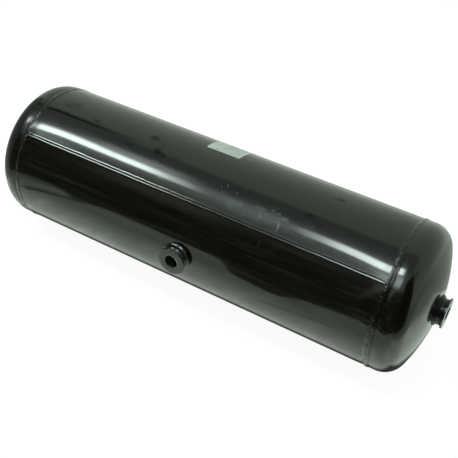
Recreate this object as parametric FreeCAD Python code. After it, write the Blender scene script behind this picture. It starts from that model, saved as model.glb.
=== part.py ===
"""Horizontal welded pressure tank with dished heads and three threaded ports.

Millimetres.  The tank axis is X, +Z is up and the side port points to -Y.
The origin is on the tank axis, half way along the shell.
"""
import math
import os

import FreeCAD
import Part
from FreeCAD import Vector

# Tank body
TANK_DIAMETER = 206.0        # outside of the rolled shell
SHELL_LENGTH = 558.0         # between the middles of the two girth welds
SHELL_WALL = 2.5

# Dished heads: crown, knuckle, straight flange and a joggled skirt inside the shell
HEAD_WALL = 2.5
HEAD_CROWN_RADIUS = 230.0    # outside
HEAD_KNUCKLE_RADIUS = 30.0   # outside
HEAD_STRAIGHT = 11.0         # from the middle of the girth weld to the knuckle
SKIRT_LENGTH = 12.0          # from the middle of the girth weld into the shell
SKIRT_CLEARANCE = 0.15       # radial, skirt inside the shell

# Welds
GIRTH_ROOT_GAP = 3.0         # between the shell's end and the head's shoulder
GIRTH_BEAD_WIDTH = 8.0
GIRTH_BEAD_HEIGHT = 1.8
GIRTH_BEAD_RUNS = 40         # short runs round the joint, each a little flat on top
SEAM_ROOT_GAP = 1.6          # between the two edges of the rolled plate
SEAM_BEAD_WIDTH = 4.0
SEAM_BEAD_HEIGHT = 0.7
SEAM_ABOVE_SIDE_PORT = 46.5  # degrees round the shell
PORT_WELD_RUN = 3.5          # along the plate
PORT_WELD_RISE = 4.0         # up the boss

# Threaded port bosses, turned with a thin rim at the mouth
BOSS_RADIUS = 18.0
BOSS_RIM_STANDOUT = 2.5      # rim beyond the barrel
BOSS_RIM_THICKNESS = 2.5
BOSS_HEIGHT = 11.5           # mouth above the plate
BOSS_EDGE_CHAMFER = 0.5
BOSS_HOLE_CLEARANCE = 0.1    # radial, boss in the plate
BOSS_INNER_STANDOUT = 1.0    # past the inside of the plate
THREAD_BORE_RADIUS = 9.315   # crest of the internal thread
THREAD_MOUTH_CHAMFER = 1.2

# Label plate bent round the top of the shell
LABEL_LENGTH = 56.0          # along the tank
LABEL_ARC_LENGTH = 50.0      # round the tank
LABEL_THICKNESS = 0.4
LABEL_OFFSET = -3.0          # its middle, along the tank
LABEL_ABOVE_SIDE_PORT = 112.0  # its middle, degrees round the shell

TANK_RADIUS = TANK_DIAMETER / 2
SHELL_BORE_RADIUS = TANK_RADIUS - SHELL_WALL
WELD_X = SHELL_LENGTH / 2
SHELL_END_X = WELD_X - GIRTH_ROOT_GAP / 2
SHOULDER_X = WELD_X + GIRTH_ROOT_GAP / 2
SKIRT_RADIUS = SHELL_BORE_RADIUS - SKIRT_CLEARANCE
BOSS_HOLE_RADIUS = BOSS_RADIUS + BOSS_HOLE_CLEARANCE
BOSS_RIM_RADIUS = BOSS_RADIUS + BOSS_RIM_STANDOUT

ORIGIN = Vector(0, 0, 0)
ALONG = Vector(1, 0, 0)
SIDE = Vector(0, -1, 0)
UP = Vector(0, 0, 1)


def around(angle):
    """Unit vector that points away from the tank axis, at an angle above the side port."""
    turn = math.radians(angle)
    return SIDE * math.cos(turn) + UP * math.sin(turn)


def rod(radius, start, end):
    """Solid cylinder between two stations on the tank axis."""
    return Part.makeCylinder(radius, end - start, ALONG * start, ALONG)


def line(start, end):
    """Edge between two (x, radius) points of a half section."""
    return Part.makeLine(Vector(start[0], 0, start[1]), Vector(end[0], 0, end[1]))


def arc(start, middle, end):
    """Arc through three (x, radius) points of a half section."""
    points = [Vector(x, 0, radius) for x, radius in (start, middle, end)]
    return Part.Arc(*points).toShape()


def turned(edges):
    """Solid turned about the tank axis from the closed half section of these edges."""
    return Part.Face(Part.Wire(edges)).revolve(ORIGIN, ALONG, 360)


def outline(points):
    """Edges of a closed half section with straight sides."""
    return [line(a, b) for a, b in zip(points, points[1:] + points[:1])]


def solid_of(shape):
    """The one solid of a cut or joined shape."""
    if len(shape.Solids) != 1:
        raise ValueError(f"expected one solid, got {len(shape.Solids)}")
    return shape.removeSplitter().Solids[0]


class DishSide:
    """One face of the dished head: straight, knuckle arc and crown arc, as (x, radius)."""

    def __init__(self, inset):
        self.radius = TANK_RADIUS - inset
        self.knuckle = HEAD_KNUCKLE_RADIUS - inset
        self.crown = HEAD_CROWN_RADIUS - inset
        self.knuckle_x = WELD_X + HEAD_STRAIGHT
        self.knuckle_centre_radius = TANK_RADIUS - HEAD_KNUCKLE_RADIUS
        reach = HEAD_CROWN_RADIUS - HEAD_KNUCKLE_RADIUS
        self.tangent_angle = math.asin(self.knuckle_centre_radius / reach)
        self.crown_centre_x = self.knuckle_x - reach * math.cos(self.tangent_angle)
        self.apex_x = self.crown_centre_x + self.crown

    def on_knuckle(self, angle):
        """Point of the knuckle, at an angle from the tank axis."""
        return (self.knuckle_x + self.knuckle * math.cos(angle),
                self.knuckle_centre_radius + self.knuckle * math.sin(angle))

    def on_crown(self, radius):
        """Point of the crown at a distance from the tank axis."""
        return (self.crown_centre_x + math.sqrt(self.crown ** 2 - radius ** 2), radius)

    def edges(self, straight_from, hole_radius):
        """Straight, knuckle and crown, from the straight's start to the hole's edge."""
        tangent = self.on_knuckle(self.tangent_angle)
        middle = self.on_knuckle((self.tangent_angle + math.pi / 2) / 2)
        top = (self.knuckle_x, self.radius)
        crown_middle = self.on_crown((tangent[1] + hole_radius) / 2)
        return [line((straight_from, self.radius), top),
                arc(top, middle, tangent),
                arc(tangent, crown_middle, self.on_crown(hole_radius))]


DISH_OUTSIDE = DishSide(0)
DISH_INSIDE = DishSide(HEAD_WALL)


def make_head():
    """Right-hand dished head with a joggled skirt and a hole for its boss."""
    inner_radius = SKIRT_RADIUS - HEAD_WALL
    skirt_end = WELD_X - SKIRT_LENGTH
    joggle_top = SHOULDER_X + (TANK_RADIUS - HEAD_WALL - inner_radius) + HEAD_WALL * (math.sqrt(2) - 1)
    joggle_foot = joggle_top - (TANK_RADIUS - HEAD_WALL - inner_radius)
    outside = DISH_OUTSIDE.edges(SHOULDER_X, BOSS_HOLE_RADIUS)
    inside = DISH_INSIDE.edges(joggle_top, BOSS_HOLE_RADIUS)
    hole = line(DISH_OUTSIDE.on_crown(BOSS_HOLE_RADIUS), DISH_INSIDE.on_crown(BOSS_HOLE_RADIUS))
    skirt = [line((joggle_top, TANK_RADIUS - HEAD_WALL), (joggle_foot, inner_radius)),
             line((joggle_foot, inner_radius), (skirt_end, inner_radius)),
             line((skirt_end, inner_radius), (skirt_end, SKIRT_RADIUS)),
             line((skirt_end, SKIRT_RADIUS), (SHOULDER_X, SKIRT_RADIUS)),
             line((SHOULDER_X, SKIRT_RADIUS), (SHOULDER_X, TANK_RADIUS))]
    return turned(outside + [hole] + inside[::-1] + skirt)


def run_flats():
    """Many-sided bar whose flats are the tops of the weld runs, one of them facing down."""
    radius = TANK_RADIUS + GIRTH_BEAD_HEIGHT
    start = WELD_X - GIRTH_BEAD_WIDTH / 2
    corners = [around((i + 0.5) * 360 / GIRTH_BEAD_RUNS - 90) * radius + ALONG * start
               for i in range(GIRTH_BEAD_RUNS + 1)]
    return Part.Face(Part.makePolygon(corners)).extrude(ALONG * GIRTH_BEAD_WIDTH)


def make_girth_weld():
    """Right-hand girth weld: a crowned bead over a root that fills the groove."""
    left, right = WELD_X - GIRTH_BEAD_WIDTH / 2, WELD_X + GIRTH_BEAD_WIDTH / 2
    crown = arc((left, TANK_RADIUS), (WELD_X, TANK_RADIUS + GIRTH_BEAD_HEIGHT), (right, TANK_RADIUS))
    root = [(right, TANK_RADIUS), (SHOULDER_X, TANK_RADIUS), (SHOULDER_X, SKIRT_RADIUS),
            (SHELL_END_X, SKIRT_RADIUS), (SHELL_END_X, TANK_RADIUS), (left, TANK_RADIUS)]
    bead = turned([crown] + [line(a, b) for a, b in zip(root, root[1:])])
    return solid_of(bead.common(run_flats()))


def seam_root():
    """Block that fills the slot between the edges of the rolled plate."""
    slot = Part.makeBox(2 * SHELL_END_X, SEAM_ROOT_GAP, TANK_RADIUS,
                        Vector(-SHELL_END_X, -SEAM_ROOT_GAP / 2, 0))
    return turn_to_seam(slot)


def turn_to_seam(shape):
    """Turns a shape from the top of the tank round to the seam."""
    shape.rotate(ORIGIN, ALONG, 90 - SEAM_ABOVE_SIDE_PORT)
    return shape


def make_shell():
    """Rolled shell with its seam slot and the hole for the side boss."""
    tube = rod(TANK_RADIUS, -SHELL_END_X, SHELL_END_X)
    tube = tube.cut(rod(SHELL_BORE_RADIUS, -SHELL_END_X, SHELL_END_X))
    hole = Part.makeCylinder(BOSS_HOLE_RADIUS, TANK_RADIUS, ORIGIN, SIDE)
    return solid_of(tube.cut(hole).cut(seam_root()))


def make_seam_weld(girth_welds):
    """Straight bead along the shell, ending where it runs into the girth welds."""
    sagitta = TANK_RADIUS - math.sqrt(TANK_RADIUS ** 2 - (SEAM_BEAD_WIDTH / 2) ** 2)
    half = SEAM_BEAD_WIDTH / 2
    foot = TANK_RADIUS - sagitta
    points = [Vector(-SHELL_END_X, y, z) for y, z in
              ((-half, foot), (0, TANK_RADIUS + SEAM_BEAD_HEIGHT), (half, foot))]
    base = Part.makeLine(points[2], points[0])
    section = Part.Face(Part.Wire([Part.Arc(*points).toShape(), base]))
    crown = turn_to_seam(section.extrude(ALONG * 2 * SHELL_END_X))
    crown = crown.cut(rod(TANK_RADIUS, -SHELL_END_X, SHELL_END_X))
    bore = rod(SHELL_BORE_RADIUS, -SHELL_END_X, SHELL_END_X)
    inside = rod(TANK_RADIUS, -SHELL_END_X, SHELL_END_X).cut(bore)
    weld = crown.fuse(seam_root().common(inside))
    for girth_weld in girth_welds:
        weld = weld.cut(girth_weld)
    return solid_of(weld)


def boss(plate_x, inner_end_x):
    """Right-hand boss on the tank axis, its mouth BOSS_HEIGHT above the plate."""
    mouth = plate_x + BOSS_HEIGHT
    rim_back = mouth - BOSS_RIM_THICKNESS
    points = [(inner_end_x, THREAD_BORE_RADIUS), (inner_end_x, BOSS_RADIUS),
              (rim_back, BOSS_RADIUS), (rim_back, BOSS_RIM_RADIUS),
              (mouth - BOSS_EDGE_CHAMFER, BOSS_RIM_RADIUS),
              (mouth, BOSS_RIM_RADIUS - BOSS_EDGE_CHAMFER),
              (mouth, THREAD_BORE_RADIUS + THREAD_MOUTH_CHAMFER),
              (mouth - THREAD_MOUTH_CHAMFER, THREAD_BORE_RADIUS)]
    return turned(outline(points))


def make_end_boss():
    """Boss set through the middle of the right-hand head."""
    inner_end = DISH_INSIDE.on_crown(BOSS_HOLE_RADIUS)[0] - BOSS_INNER_STANDOUT
    return boss(DISH_OUTSIDE.apex_x, inner_end)


def make_end_boss_weld():
    """Fillet weld between the right-hand head and its boss."""
    plate = DISH_OUTSIDE
    toe = plate.on_crown(BOSS_HOLE_RADIUS + PORT_WELD_RUN)
    heel = plate.on_crown(BOSS_HOLE_RADIUS)
    middle = plate.on_crown(BOSS_HOLE_RADIUS + PORT_WELD_RUN / 2)
    top = (plate.apex_x + PORT_WELD_RISE, BOSS_RADIUS)
    return turned([line(toe, top), line(top, (heel[0], BOSS_RADIUS)),
                   line((heel[0], BOSS_RADIUS), heel), arc(heel, middle, toe)])


def turn_to_side(shape):
    """Turns a shape from the right-hand end of the tank axis round to the side."""
    shape.rotate(ORIGIN, UP, -90)
    return shape


def make_side_boss():
    """Boss set through the side of the shell at mid-length."""
    inner_end = math.sqrt(SHELL_BORE_RADIUS ** 2 - BOSS_HOLE_RADIUS ** 2) - BOSS_INNER_STANDOUT
    return turn_to_side(boss(TANK_RADIUS, inner_end))


def make_side_boss_weld():
    """Fillet weld between the shell and its side boss, cut to the shell's curve."""
    lowest_radius = 2 * BOSS_RADIUS
    slope = PORT_WELD_RISE / PORT_WELD_RUN
    top = TANK_RADIUS + PORT_WELD_RISE
    foot = top - (lowest_radius - BOSS_RADIUS) * slope
    cone = turned(outline([(top, BOSS_RADIUS), (foot, lowest_radius), (foot, BOSS_RADIUS)]))
    inner = rod(TANK_RADIUS, -lowest_radius, lowest_radius)
    return solid_of(turn_to_side(cone).cut(inner))


def make_label_plate():
    """Thin plate bent to the shell's outside."""
    start = LABEL_OFFSET - LABEL_LENGTH / 2
    arc_angle = math.degrees(LABEL_ARC_LENGTH / TANK_RADIUS)
    corner = (start, TANK_RADIUS), (start, TANK_RADIUS + LABEL_THICKNESS)
    far = (start + LABEL_LENGTH, TANK_RADIUS + LABEL_THICKNESS), (start + LABEL_LENGTH, TANK_RADIUS)
    section = Part.Face(Part.Wire(outline([*corner, *far])))
    plate = section.revolve(ORIGIN, ALONG, arc_angle)
    plate.rotate(ORIGIN, ALONG, 90 - LABEL_ABOVE_SIDE_PORT - arc_angle / 2)
    return plate


def mirrored(shape):
    """The same piece at the other end of the tank."""
    return shape.mirror(ORIGIN, ALONG)


def make_parts():
    """Every piece of the tank by name."""
    right = {"head": make_head(), "girth_weld": make_girth_weld(),
             "end_port_boss": make_end_boss(), "end_port_weld": make_end_boss_weld()}
    parts = {f"{name}_right": shape for name, shape in right.items()}
    parts.update({f"{name}_left": mirrored(shape) for name, shape in right.items()})
    girth_welds = [parts["girth_weld_right"], parts["girth_weld_left"]]
    parts["shell"] = make_shell()
    parts["shell_seam_weld"] = make_seam_weld(girth_welds)
    parts["side_port_boss"] = make_side_boss()
    parts["side_port_weld"] = make_side_boss_weld()
    parts["label_plate"] = make_label_plate()
    return parts


def main():
    """Writes one STEP file for each piece."""
    os.makedirs("parts", exist_ok=True)
    for name, shape in make_parts().items():
        box = shape.BoundBox
        if not shape.isValid():
            raise ValueError(f"{name} is not a valid solid")
        shape.exportStep(f"parts/{name}.step")
        print(f"{name}: {len(shape.Solids)} solid, {shape.Volume:.0f} mm3, "
              f"x {box.XMin:.1f}..{box.XMax:.1f}, y {box.YMin:.1f}..{box.YMax:.1f}, "
              f"z {box.ZMin:.1f}..{box.ZMax:.1f}")


main()
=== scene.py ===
"""Looks of the horizontal pressure tank: black gloss paint over welded steel plate.

Metres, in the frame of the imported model: the tank axis is X, +Z is up and the side port points to -Y.
Angles round the tank are in degrees above the side port.
"""
import logging
import math
import random
from dataclasses import dataclass, field
from enum import Enum, IntEnum
from typing import Callable, Iterable, Optional, Sequence, Union

import bpy
import numpy as np
from mathutils import Matrix, Vector

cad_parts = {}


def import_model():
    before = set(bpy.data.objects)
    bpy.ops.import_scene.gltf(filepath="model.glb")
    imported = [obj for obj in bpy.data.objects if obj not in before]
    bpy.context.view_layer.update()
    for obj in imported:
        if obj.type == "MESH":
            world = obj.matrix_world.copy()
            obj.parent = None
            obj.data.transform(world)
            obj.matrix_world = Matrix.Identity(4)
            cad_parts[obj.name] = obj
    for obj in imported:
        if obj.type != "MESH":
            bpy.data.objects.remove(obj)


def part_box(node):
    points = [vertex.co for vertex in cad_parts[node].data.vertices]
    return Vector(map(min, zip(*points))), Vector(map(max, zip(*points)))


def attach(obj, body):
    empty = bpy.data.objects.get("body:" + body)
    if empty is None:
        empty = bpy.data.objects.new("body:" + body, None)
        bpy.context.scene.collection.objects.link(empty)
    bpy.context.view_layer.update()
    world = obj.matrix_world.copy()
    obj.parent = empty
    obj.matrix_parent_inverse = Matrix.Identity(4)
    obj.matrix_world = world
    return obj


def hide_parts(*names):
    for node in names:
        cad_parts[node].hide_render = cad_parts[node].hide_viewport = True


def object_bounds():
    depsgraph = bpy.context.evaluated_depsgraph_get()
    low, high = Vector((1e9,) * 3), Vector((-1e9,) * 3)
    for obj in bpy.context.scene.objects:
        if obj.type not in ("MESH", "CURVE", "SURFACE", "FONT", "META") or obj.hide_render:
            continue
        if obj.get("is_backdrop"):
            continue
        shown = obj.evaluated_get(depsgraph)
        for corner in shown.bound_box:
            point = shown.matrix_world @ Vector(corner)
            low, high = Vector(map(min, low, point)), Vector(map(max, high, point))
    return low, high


LOG = logging.getLogger("tank")
BODY = "root"
MM = 0.001
PAINT_IOR = 1.5
FILM_IOR = 1.46
BEAD_SHARP = 60.0
BOSS_SHARP = 50.0

Colour = tuple[float, float, float]
Place = tuple[float, float, float]
Section = list[tuple[float, float]]
Table = tuple[tuple[float, ...], ...]


# --------------------------------------------------------------------------- shader graph

class Value:
    """One socket of a node tree.  Arithmetic on it adds Math nodes."""

    def __init__(self, graph: "Graph", socket: bpy.types.NodeSocket) -> None:
        """Keeps the graph and the socket."""
        self.graph = graph
        self.socket = socket

    def _math(self, operation: str, *terms: "Term") -> "Value":
        """Adds one Math node on these terms."""
        return self.graph.add("ShaderNodeMath", {"operation": operation}, dict(enumerate(terms)))

    def __add__(self, other: "Term") -> "Value":
        """self + other."""
        return self._math("ADD", self, other)

    def __radd__(self, other: "Term") -> "Value":
        """other + self."""
        return self._math("ADD", other, self)

    def __sub__(self, other: "Term") -> "Value":
        """self - other."""
        return self._math("SUBTRACT", self, other)

    def __rsub__(self, other: "Term") -> "Value":
        """other - self."""
        return self._math("SUBTRACT", other, self)

    def __mul__(self, other: "Term") -> "Value":
        """self * other."""
        return self._math("MULTIPLY", self, other)

    def __rmul__(self, other: "Term") -> "Value":
        """other * self."""
        return self._math("MULTIPLY", other, self)

    def __truediv__(self, other: "Term") -> "Value":
        """self / other."""
        return self._math("DIVIDE", self, other)

    def __pow__(self, other: "Term") -> "Value":
        """self ** other."""
        return self._math("POWER", self, other)

    def largest(self, other: "Term") -> "Value":
        """The larger of self and other."""
        return self._math("MAXIMUM", self, other)

    def smallest(self, other: "Term") -> "Value":
        """The smaller of self and other."""
        return self._math("MINIMUM", self, other)

    def size(self) -> "Value":
        """Self without its sign."""
        return self._math("ABSOLUTE", self)

    def sine(self) -> "Value":
        """Sine of self, in radians."""
        return self._math("SINE", self)

    def rise(self, low: float, high: float) -> "Value":
        """Smooth step from 0 at low to 1 at high.

        Args:
            low: Where the step starts.
            high: Where the step ends, which may be under low for a fall.

        Returns:
            The step, from 0 to 1.
        """
        settings = {"interpolation_type": "SMOOTHSTEP"}
        if low < high:
            limits = {1: low, 2: high, 3: 0.0, 4: 1.0}
        else:
            limits = {1: high, 2: low, 3: 1.0, 4: 0.0}
        return self.graph.add("ShaderNodeMapRange", settings, {0: self, **limits})


Term = Union[Value, float]


class Graph:
    """Node tree of one material or world."""

    def __init__(self, tree: bpy.types.NodeTree) -> None:
        """Empties the tree."""
        self.tree = tree
        tree.nodes.clear()

    def add(self, kind: str, settings: Optional[dict] = None, inputs: Optional[dict] = None,
            output: Union[int, str] = 0) -> Value:
        """Adds any node.

        Args:
            kind: Blender's name of the node type.
            settings: Properties of the node; "stops" are a colour ramp's (position, colour) pairs.
            inputs: Value or link of each socket, by its number or name.
            output: Which output socket comes back.

        Returns:
            The chosen output.
        """
        node = self.tree.nodes.new(kind)
        for name, setting in (settings or {}).items():
            if name == "stops":
                self._set_stops(node.color_ramp, setting)
            else:
                setattr(node, name, setting)
        for key, value in (inputs or {}).items():
            if isinstance(value, Value):
                self.tree.links.new(value.socket, node.inputs[key])
            else:
                node.inputs[key].default_value = value
        return Value(self, node.outputs[output]) if node.outputs else Value(self, None)

    @staticmethod
    def _set_stops(ramp: bpy.types.ColorRamp, stops: Sequence[tuple[float, float]]) -> None:
        """Sets a ramp's stops, each a position and a level of grey.

        Args:
            ramp: The ramp.
            stops: The (position, level) pairs, in order.
        """
        ramp.interpolation = "EASE"
        while len(ramp.elements) < len(stops):
            ramp.elements.new(1.0)
        for element, (position, level) in zip(ramp.elements, stops):
            element.position = position
            element.color = (level, level, level, 1.0)

    def place(self) -> Value:
        """Position on the piece, in metres."""
        return self.add("ShaderNodeTexCoord", output="Object")

    def vector(self, operation: str, *terms: Union[Value, Place], scale: Term = 1.0) -> Value:
        """Adds one Vector Math node; lengths and dot products come back as a number.

        Args:
            operation: Blender's name of the operation.
            terms: The vectors.
            scale: The factor of a SCALE.

        Returns:
            The node's result.
        """
        number = operation in ("LENGTH", "DOT_PRODUCT")
        inputs = dict(enumerate(terms))
        if operation == "SCALE":
            inputs["Scale"] = scale
        return self.add("ShaderNodeVectorMath", {"operation": operation}, inputs, int(number))

    def colours(self, share: Term, low: Union[Value, Colour], high: Union[Value, Colour]) -> Value:
        """Mixes two colours.

        Args:
            share: How much of the second colour there is, from 0 to 1.
            low: The first colour.
            high: The second colour.

        Returns:
            The mixed colour.
        """
        sides = [side if isinstance(side, Value) else (*side, 1.0) for side in (low, high)]
        return self.add("ShaderNodeMix", {"data_type": "RGBA"}, {0: share, 6: sides[0], 7: sides[1]}, 2)

    def noise(self, where: Value, size: float, detail: float = 2.0, roughness: float = 0.5) -> Value:
        """Cloudy noise from 0 to 1 whose blotches are about this size in metres."""
        return self.add("ShaderNodeTexNoise", None,
                        {"Vector": where, "Scale": 1.0 / size, "Detail": detail, "Roughness": roughness})

    def bump(self, height: Value, normal: Optional[Value] = None) -> Value:
        """Normal of a surface that is raised by a height in metres.

        Args:
            height: The height.
            normal: The normal without it, where that isn't the surface's own.

        Returns:
            The bent normal.
        """
        inputs = {"Height": height, "Strength": 1.0, "Distance": 1.0}
        if normal is not None:
            inputs["Normal"] = normal
        return self.add("ShaderNodeBump", None, inputs)

    def stretched(self, where: Value, across: Place) -> Value:
        """The place, divided by a length along each axis."""
        return self.vector("DIVIDE", where, across)


def new_material(name: str, build: Callable[[Graph], dict],
                 deep: Optional[Callable[[Graph], tuple[Value, dict]]] = None) -> bpy.types.Material:
    """Makes a material from the inputs of its Principled shader.

    Args:
        name: The material's name.
        build: Gives the shader's inputs by name, each a value or a link.
        deep: Gives the share and the inputs of a second shader, where there is one.

    Returns:
        The material.
    """
    material = bpy.data.materials.new(name)
    material.use_nodes = True
    graph = Graph(material.node_tree)
    shader = graph.add("ShaderNodeBsdfPrincipled", None, build(graph))
    if deep is not None:
        share, inputs = deep(graph)
        second = graph.add("ShaderNodeBsdfPrincipled", None, inputs)
        shader = graph.add("ShaderNodeMixShader", None, {0: share, 1: shader, 2: second})
    graph.add("ShaderNodeOutputMaterial", None, {"Surface": shader})
    return material


# --------------------------------------------------------------------------- finishes

@dataclass(frozen=True)
class Mark:
    """A place on the paint, with soft edges."""

    centre: Place
    reach: Place
    strength: float = 1.0
    core: float = 0.25

    def mask(self, graph: Graph, where: Value) -> Value:
        """1 in the middle of the place and 0 outside it.

        Args:
            graph: The material's node tree.
            where: Position on the piece.

        Returns:
            The mask.
        """
        away = graph.vector("SUBTRACT", where, self.centre)
        share = graph.vector("LENGTH", graph.stretched(away, self.reach))
        return share.rise(1.0, self.core) * self.strength


@dataclass(frozen=True)
class Scratch:
    """One scratch, nearly straight."""

    start: Place
    end: Place
    width: float = 0.55 * MM
    strength: float = 1.0

    def mask(self, graph: Graph, where: Value) -> Value:
        """1 along the scratch and 0 beside it.

        Args:
            graph: The material's node tree.
            where: Position on the piece.

        Returns:
            The mask.
        """
        line = Vector(self.end) - Vector(self.start)
        out = graph.vector("SUBTRACT", where, self.start)
        along = graph.vector("DOT_PRODUCT", out, tuple(line / line.length_squared))
        share = along.largest(0.0).smallest(1.0)
        foot = graph.vector("SCALE", tuple(line), scale=share)
        gap = graph.vector("LENGTH", graph.vector("SUBTRACT", out, foot))
        return gap.rise(self.width, 0.2 * self.width) * self.strength


@dataclass(frozen=True)
class GlossPaint:
    """Black stoved paint: a mirror-like skin with a faint haze, orange peel, dust and rubbed places."""

    name: str
    colour: Colour = (0.0026, 0.0023, 0.0016)
    dust_colour: Colour = (0.044, 0.057, 0.058)
    roughness: float = 0.095
    haze: float = 0.34
    gloss: float = 0.5
    haze_roughness: float = 0.27
    peel_height: float = 0.0016 * MM
    peel_size: float = 2.6 * MM
    cloud_height: float = 0.02 * MM
    cloud_size: float = 55 * MM
    nib_height: float = 0.035 * MM
    nib_spacing: float = 17 * MM
    nib_radius: float = 0.9 * MM
    dust: float = 0.5
    speck_spacing: float = 5 * MM
    speck_cloud_size: float = 21 * MM
    speck_patch_strength: float = 2.0
    thickest_cover: float = 3.0
    smear_size: float = 19 * MM
    fine_smear_size: float = 3.5 * MM
    blotch_size: float = 75 * MM
    small_blotch_size: float = 15 * MM
    dull_roughness: float = 0.16
    dull_gloss: float = 0.16
    blotch_share: float = 0.2
    dulled_share: float = 0.75
    most_dull: float = 0.85
    hair_cell: Place = (31 * MM, 11 * MM, 23 * MM)
    hair_swirl_size: float = 1 / 14
    hair_bend: float = 8 * MM
    hair_strength: float = 0.12
    scratch_depth: float = 0.02 * MM
    rubbed: tuple[Mark, ...] = ()
    chalked: tuple[Mark, ...] = ()
    specked: tuple[Mark, ...] = ()
    dulled: tuple[Mark, ...] = ()
    scratched: tuple[Scratch, ...] = ()

    def make(self) -> bpy.types.Material:
        """Makes the material."""
        return new_material(self.name, self._inputs, self._dull)

    def _dull(self, graph: Graph) -> tuple[Value, dict]:
        """Share and inputs of the dull blotches, where handling took the bloom off the paint.

        Args:
            graph: The material's node tree.

        Returns:
            How much of the dull shader there is, and its values by socket name.
        """
        where = graph.place()
        broad = graph.noise(where, self.blotch_size, 2.0).rise(0.52, 0.68)
        small = graph.noise(where, self.small_blotch_size, 3.0, 0.55).rise(0.42, 0.64)
        share = broad * small * self.blotch_share \
            + self._sum(graph, where, self.dulled) * small.largest(0.45) * self.dulled_share
        return share.smallest(self.most_dull), {
            "Base Color": (*self.colour, 1.0),
            "Roughness": self.dull_roughness + small * 0.10,
            "Specular IOR Level": self.dull_gloss,
            "Normal": graph.bump(graph.noise(where, self.peel_size, 1.0) * self.peel_height),
        }

    def _inputs(self, graph: Graph) -> dict:
        """Inputs of the paint's shader.

        Args:
            graph: The material's node tree.

        Returns:
            Its values by socket name.
        """
        where = graph.place()
        cloud = graph.noise(where, self.cloud_size, 3.0)
        smears, fine = self._smears(graph, where)
        rubbed = self._sum(graph, where, self.rubbed) * smears \
            + self._sum(graph, where, self.chalked) * fine
        scratched = self._scratches(graph, where)
        nibs = self._nibs(graph, where)
        dust = self._dust(graph, where, cloud)
        thickest = self.thickest_cover
        cover = (dust * 0.2 + rubbed + scratched * thickest).smallest(thickest) / thickest
        height = graph.noise(where, self.peel_size, 1.0) * self.peel_height + cloud * self.cloud_height \
            + nibs * self.nib_height - scratched.smallest(1.0) * self.scratch_depth
        return {
            "Base Color": graph.colours(cover, self.colour, tuple(thickest * c for c in self.dust_colour)),
            "Roughness": self.roughness + dust * 0.05 + rubbed * 0.10,
            "IOR": PAINT_IOR,
            "Specular IOR Level": self.gloss,
            "Coat Weight": self.haze + rubbed * 0.3,
            "Coat Roughness": self.haze_roughness,
            "Coat IOR": PAINT_IOR,
            "Normal": graph.bump(height),
        }

    @staticmethod
    def _sum(graph: Graph, where: Value, marks: Iterable[Union[Mark, Scratch]]) -> Term:
        """Adds up the masks of several marks.

        Args:
            graph: The material's node tree.
            where: Position on the piece.
            marks: The marks.

        Returns:
            The sum of the masks.
        """
        total: Term = 0.0
        for mark in marks:
            total = mark.mask(graph, where) + total
        return total

    def _smears(self, graph: Graph, where: Value) -> tuple[Value, Value]:
        """Cloudy smears, coarse ones and fine ones.

        Args:
            graph: The material's node tree.
            where: Position on the piece.

        Returns:
            Both kinds together, and the fine ones alone.
        """
        coarse = graph.noise(where, self.smear_size, 4.0, 0.55).rise(0.25, 0.85)
        fine = graph.noise(where, self.fine_smear_size, 3.0, 0.6).rise(0.20, 0.85)
        return coarse * 0.6 + coarse * fine * 0.5 + 0.10, fine * 0.8 + 0.2

    def _scratches(self, graph: Graph, where: Value) -> Value:
        """Fine hair scratches in a few places, and the larger ones one by one.

        Args:
            graph: The material's node tree.
            where: Position on the piece.

        Returns:
            How strongly each place is scratched.
        """
        swirl = graph.add("ShaderNodeTexNoise", None,
                          {"Vector": where, "Scale": 1 / self.hair_swirl_size, "Detail": 2.0}, "Color")
        bent = graph.vector("ADD", where, graph.vector("MULTIPLY", swirl, (self.hair_bend,) * 3))
        lines = graph.add("ShaderNodeTexVoronoi", {"feature": "DISTANCE_TO_EDGE"},
                          {"Vector": graph.stretched(bent, self.hair_cell), "Scale": 1.0})
        patches = graph.noise(where, 2 * self.smear_size, 2.0).rise(0.60, 0.72)
        hairs = lines.rise(0.010, 0.0) * patches * self.hair_strength
        return hairs + self._sum(graph, where, self.scratched)

    def _nibs(self, graph: Graph, where: Value) -> Value:
        """Small grains of dirt caught under the paint, in some cells only.

        Args:
            graph: The material's node tree.
            where: Position on the piece.

        Returns:
            1 on a grain and 0 beside it.
        """
        scale = 1.0 / self.nib_spacing
        cells = {"Vector": where, "Scale": scale, "Randomness": 1.0}
        distance = graph.add("ShaderNodeTexVoronoi", None, cells, "Distance")
        chance = graph.vector("LENGTH", graph.add("ShaderNodeTexVoronoi", None, cells, "Color"))
        grain = distance.rise(self.nib_radius * scale, self.nib_radius / 9 * scale)
        return grain * chance.rise(0.95, 1.15)

    def _dust(self, graph: Graph, where: Value, cloud: Value) -> Value:
        """Thin settled dust, thicker on what faces up, with loose specks.

        Args:
            graph: The material's node tree.
            where: Position on the piece.
            cloud: The paint's broad noise.

        Returns:
            How thick the dust is.
        """
        normal = graph.add("ShaderNodeTexCoord", output="Normal")
        up = graph.add("ShaderNodeSeparateXYZ", None, {0: normal}, 2)
        speck = graph.add("ShaderNodeTexVoronoi", None,
                          {"Vector": where, "Scale": 1 / self.speck_spacing}, "Distance")
        thick = graph.noise(where, self.speck_cloud_size, 2.0).rise(0.55, 0.75) \
            + self._sum(graph, where, self.specked) * self.speck_patch_strength
        specks = speck.rise(0.16, 0.05) * thick
        return up.rise(-0.1, 1.0) * (cloud.rise(0.3, 0.9) * 0.3 + specks * 1.5) * self.dust


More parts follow.
